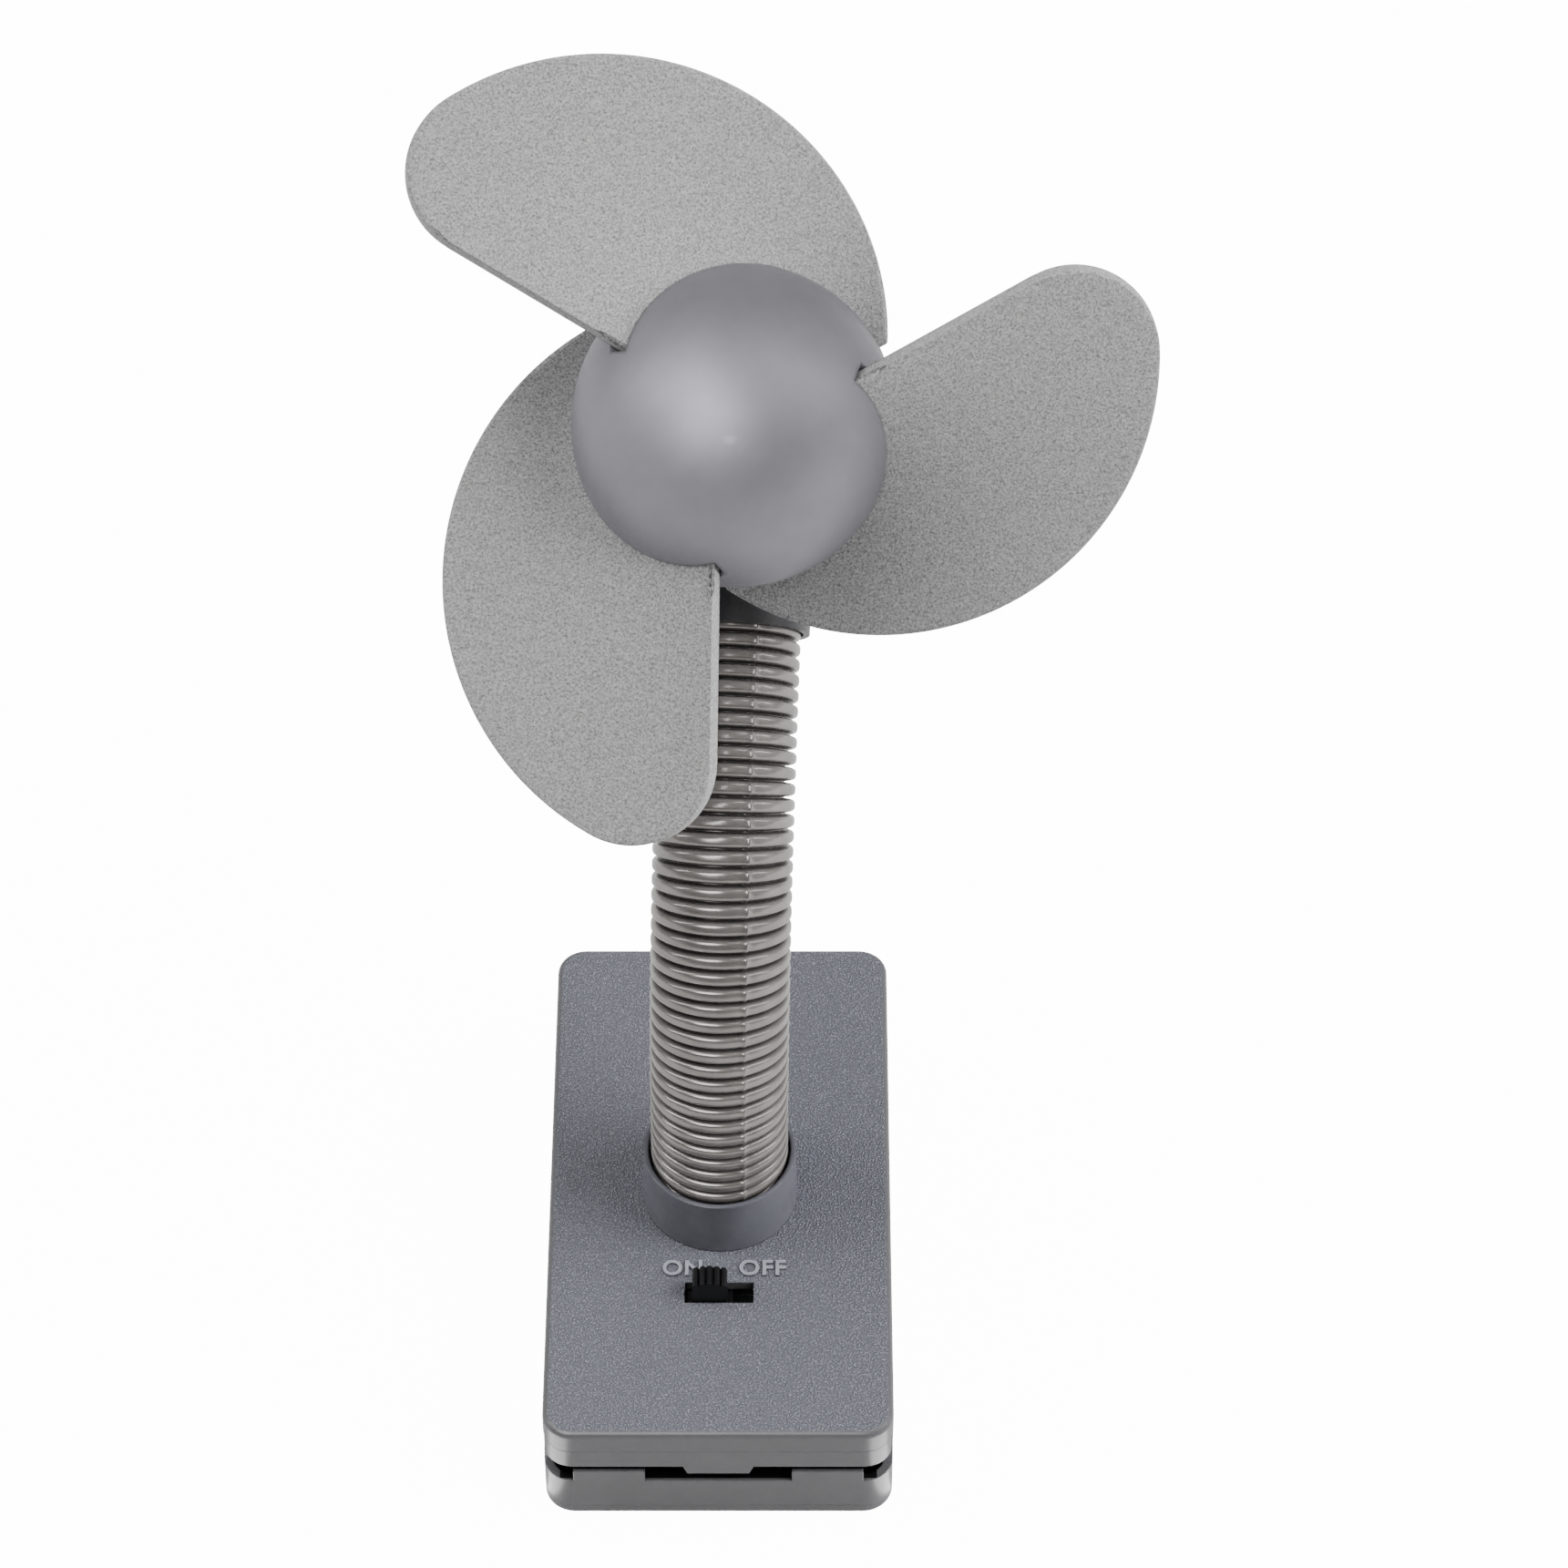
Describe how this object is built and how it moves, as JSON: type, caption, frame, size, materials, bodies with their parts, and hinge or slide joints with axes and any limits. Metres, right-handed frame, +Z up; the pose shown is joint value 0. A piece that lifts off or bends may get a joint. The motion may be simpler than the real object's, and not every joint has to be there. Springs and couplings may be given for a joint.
{
  "type": "clip fan",
  "caption": "Battery fan on a spring clip: ribbed bendable neck, soft foam blades on a domed hub, and a slide switch on the base.",
  "frame": {"origin": "middle of the flat underside of the clip base, on the surface that the fan stands on", "axes": "+Z up, -Y the way the fan and the mouth of the clip face, +X to the right seen from the front"},
  "size_m": [0.1132, 0.1421, 0.2002],
  "materials": {
    "plate": "fine pebble texture",
    "case": "satin",
    "collar": "satin",
    "sleeve": "soft, slightly glossy",
    "core": "jacketed bendable wire",
    "dark_plastic": "satin",
    "dome": "satin",
    "foam": "fine closed-cell foam",
    "steel": "plain",
    "nickel": "nickel plated",
    "magnet": "plain",
    "cell": "plain wrapper",
    "wire": "plain"
  },
  "bodies": {
    "base": {"top_cover": "plate", "case_bottom": "case", "neck_collar": "collar", "neck_anchor": "dark_plastic", "neck_nut": "steel", "neck_core_0": "core", "battery_door": "case", "battery_door_screw": "steel", "battery_cell_left": "cell", "battery_cell_right": "cell", "contact_spring": "nickel", "contact_plate": "nickel", "contact_bridge": "nickel", "switch_body": "dark_plastic", "switch_terminals": "nickel", "case_screws": "steel", "lead_battery_to_switch": "wire", "lead_switch_to_neck": "wire", "lead_battery_to_neck": "wire", "hinge_pins": "steel", "jaw_springs": "steel"},
    "jaw": {"lower_jaw": "case", "jaw_cover": "case"},
    "switch_slider": {"switch_knob": "dark_plastic"},
    "neck_1": {"neck_sleeve_1": "sleeve", "neck_core_1": "core"},
    "neck_2": {"neck_sleeve_2": "sleeve", "neck_core_2": "core"},
    "neck_3": {"neck_sleeve_3": "sleeve", "neck_core_3": "core"},
    "neck_4": {"neck_sleeve_4": "sleeve", "neck_core_4": "core"},
    "neck_5": {"neck_sleeve_5": "sleeve", "neck_core_5": "core"},
    "neck_6": {"neck_sleeve_6": "sleeve", "neck_core_6": "core"},
    "neck_7": {"neck_sleeve_7": "sleeve", "neck_core_7": "core"},
    "head": {"neck_sleeve_8": "sleeve", "neck_core_8": "core", "motor_housing": "dark_plastic", "housing_cap": "dark_plastic", "housing_screws": "steel", "neck_socket_plug": "dark_plastic", "motor_can": "steel", "motor_end_cap": "dark_plastic", "motor_magnets": "magnet", "motor_terminals": "nickel", "motor_leads": "wire"},
    "rotor": {"motor_armature": "steel", "motor_shaft": "steel", "hub_dome": "dome", "hub_back": "dome", "blade_1": "foam", "blade_2": "foam", "blade_3": "foam"}
  },
  "joints": [
    {"name": "neck_bend_1", "type": "hinge", "parent": "base", "child": "neck_1", "pos_m": [0.00001, -0.00137, 0.03506], "axis": [0.999, -0.0454, 0], "range_deg": [-8, 16], "deforming": ["neck_sleeve_1"]},
    {"name": "neck_sway_1", "type": "hinge", "parent": "neck_1", "child": "neck_2", "pos_m": [0.00006, -0.00019, 0.04732], "axis": [-0.0447, -0.9853, 0.165], "range_deg": [-12, 12], "deforming": ["neck_sleeve_2"]},
    {"name": "neck_bend_2", "type": "hinge", "parent": "neck_2", "child": "neck_3", "pos_m": [0.00019, 0.00278, 0.05927], "axis": [0.999, -0.0454, 0], "range_deg": [-8, 16], "deforming": ["neck_sleeve_3"]},
    {"name": "neck_sway_2", "type": "hinge", "parent": "neck_3", "child": "neck_4", "pos_m": [0.00041, 0.00748, 0.07065], "axis": [-0.0405, -0.8921, 0.4501], "range_deg": [-12, 12], "deforming": ["neck_sleeve_4"]},
    {"name": "neck_bend_3", "type": "hinge", "parent": "neck_4", "child": "neck_5", "pos_m": [0.0007, 0.01386, 0.08117], "axis": [0.999, -0.0454, 0], "range_deg": [-8, 16], "deforming": ["neck_sleeve_5"]},
    {"name": "neck_sway_3", "type": "hinge", "parent": "neck_5", "child": "neck_6", "pos_m": [0.00107, 0.02197, 0.09043], "axis": [-0.0317, -0.6971, 0.7163], "range_deg": [-12, 12], "deforming": ["neck_sleeve_6"]},
    {"name": "neck_bend_4", "type": "hinge", "parent": "neck_6", "child": "neck_7", "pos_m": [0.00149, 0.03132, 0.09844], "axis": [0.999, -0.0454, 0], "range_deg": [-8, 16], "deforming": ["neck_sleeve_7"]},
    {"name": "neck_sway_4", "type": "hinge", "parent": "neck_7", "child": "head", "pos_m": [0.00194, 0.04122, 0.10577], "axis": [-0.0267, -0.5872, 0.809], "range_deg": [-12, 12], "deforming": ["neck_sleeve_8"]},
    {"name": "fan_spin", "type": "hinge", "parent": "head", "child": "rotor", "pos_m": [0.00286, 0.044, 0.15201], "axis": [-0.0134, -0.7693, 0.6388], "continuous": true},
    {"name": "jaw_hinge", "type": "hinge", "parent": "base", "child": "jaw", "pos_m": [0, 0.02, 0.009], "axis": [1, 0, 0], "range_deg": [0, 15], "stiffness_Nm_per_rad": 1.2, "springref_deg": -20.05, "deforming": ["jaw_springs"]},
    {"name": "switch_slide", "type": "slide", "parent": "base", "child": "switch_slider", "axis": [1, 0, 0], "range_m": [0, 0.003]}
  ],
  "couplings": [
    {"joint": "neck_bend_2", "follows": "neck_bend_1", "ratio": 1},
    {"joint": "neck_bend_3", "follows": "neck_bend_1", "ratio": 1},
    {"joint": "neck_bend_4", "follows": "neck_bend_1", "ratio": 1},
    {"joint": "neck_sway_2", "follows": "neck_sway_1", "ratio": 1},
    {"joint": "neck_sway_3", "follows": "neck_sway_1", "ratio": 1},
    {"joint": "neck_sway_4", "follows": "neck_sway_1", "ratio": 1}
  ]
}
